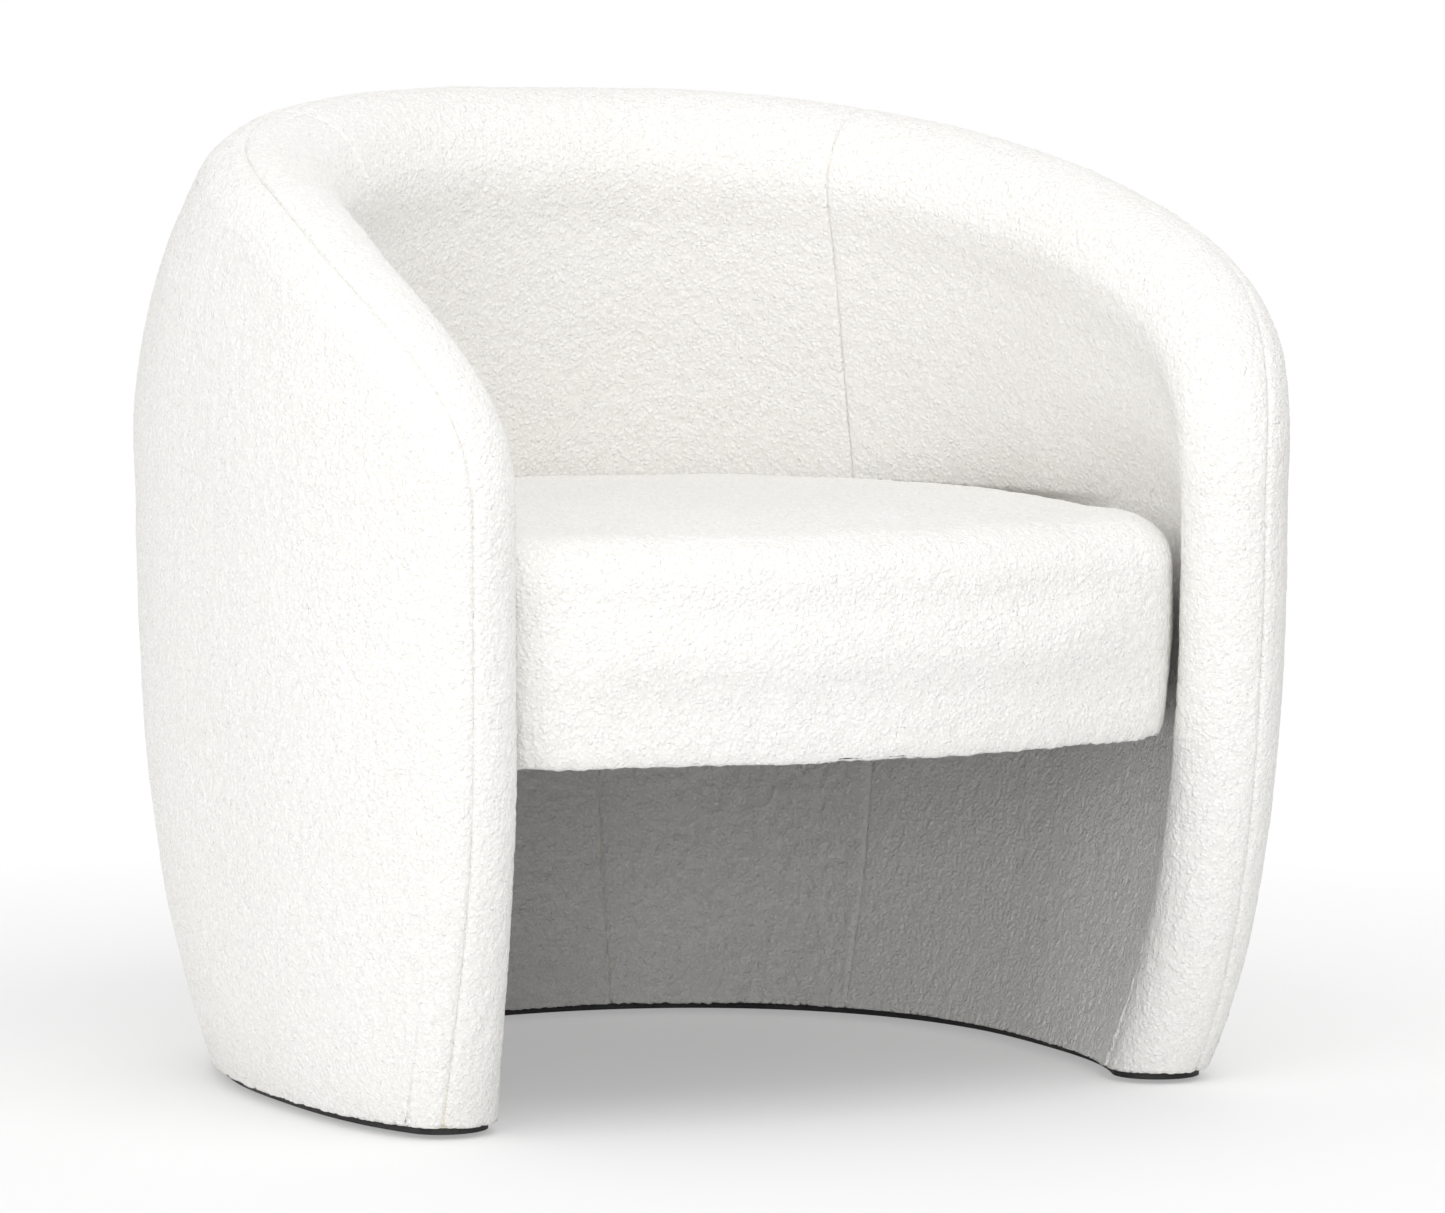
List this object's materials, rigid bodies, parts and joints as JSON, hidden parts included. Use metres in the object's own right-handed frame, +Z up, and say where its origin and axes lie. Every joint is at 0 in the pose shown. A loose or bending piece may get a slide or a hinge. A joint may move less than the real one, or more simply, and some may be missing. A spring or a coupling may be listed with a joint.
{
  "type": "upholstered barrel armchair",
  "caption": "Low barrel armchair: a padded wrap-around shell that runs to the floor, its rim sweeping down into the arm fronts, with a deep seat held between the arms above an open space.",
  "frame": {"origin": "middle of the footprint's bounding box, on the floor", "axes": "+X to the right of an onlooker facing the chair, +Y from the open front towards the back, +Z up; the sitter faces -Y"},
  "size_m": [0.8054, 0.7175, 0.722],
  "materials": {
    "boucle": "looped ivory boucle cloth, matt",
    "foam": "cut polyurethane foam, open cell",
    "wadding": "bonded polyester wadding",
    "insulator": "needled fibre felt",
    "webbing": "woven elastic webbing",
    "lining_cloth": "black non-woven dust cloth",
    "bent_ply": "bending plywood, unfinished",
    "frame_ply": "birch plywood, unfinished",
    "frame_wood": "hardwood, unfinished",
    "black_board": "black lacquered board, matt",
    "nylon": "moulded nylon",
    "spacer_plastic": "moulded nylon tube",
    "zinc_steel": "bright zinc plate"
  },
  "bodies": {
    "root": {"outer_cover": "boucle", "inner_cover_left": "boucle", "inner_cover_back": "boucle", "inner_cover_right": "boucle", "lining_left": "boucle", "lining_middle": "boucle", "lining_right": "boucle", "seat_cover_top": "boucle", "seat_cover_band": "boucle", "rim_roll_foam": "foam", "outer_foam": "foam", "inner_foam": "foam", "seat_foam": "foam", "seat_wadding": "wadding", "seat_insulator": "insulator", "seat_webbing_long": "webbing", "seat_webbing_cross": "webbing", "seat_dust_cover": "lining_cloth", "outer_skin_left": "bent_ply", "outer_skin_back": "bent_ply", "outer_skin_right": "bent_ply", "inner_skin_left": "bent_ply", "inner_skin_back": "bent_ply", "inner_skin_right": "bent_ply", "cap_rail_left": "frame_ply", "cap_rail_back": "frame_ply", "cap_rail_right": "frame_ply", "base_ring": "frame_ply", "seat_ring": "frame_ply", "rib_back": "frame_ply", "rib_corner_left": "frame_ply", "rib_corner_right": "frame_ply", "rib_seam_left": "frame_ply", "rib_seam_right": "frame_ply", "rib_side_left": "frame_ply", "rib_side_right": "frame_ply", "rib_arm_left": "frame_ply", "rib_arm_right": "frame_ply", "rib_front_left": "frame_ply", "rib_front_right": "frame_ply", "seat_front_rail": "frame_wood", "seat_hoop": "frame_wood", "seat_corner_blocks": "frame_wood", "mount_blocks": "frame_wood", "plinth": "black_board", "glides": "nylon", "mount_spacers": "spacer_plastic", "plinth_screws": "zinc_steel", "mount_tee_nuts": "zinc_steel", "mount_washers": "zinc_steel", "mount_bolts": "zinc_steel"}
  },
  "joints": []
}
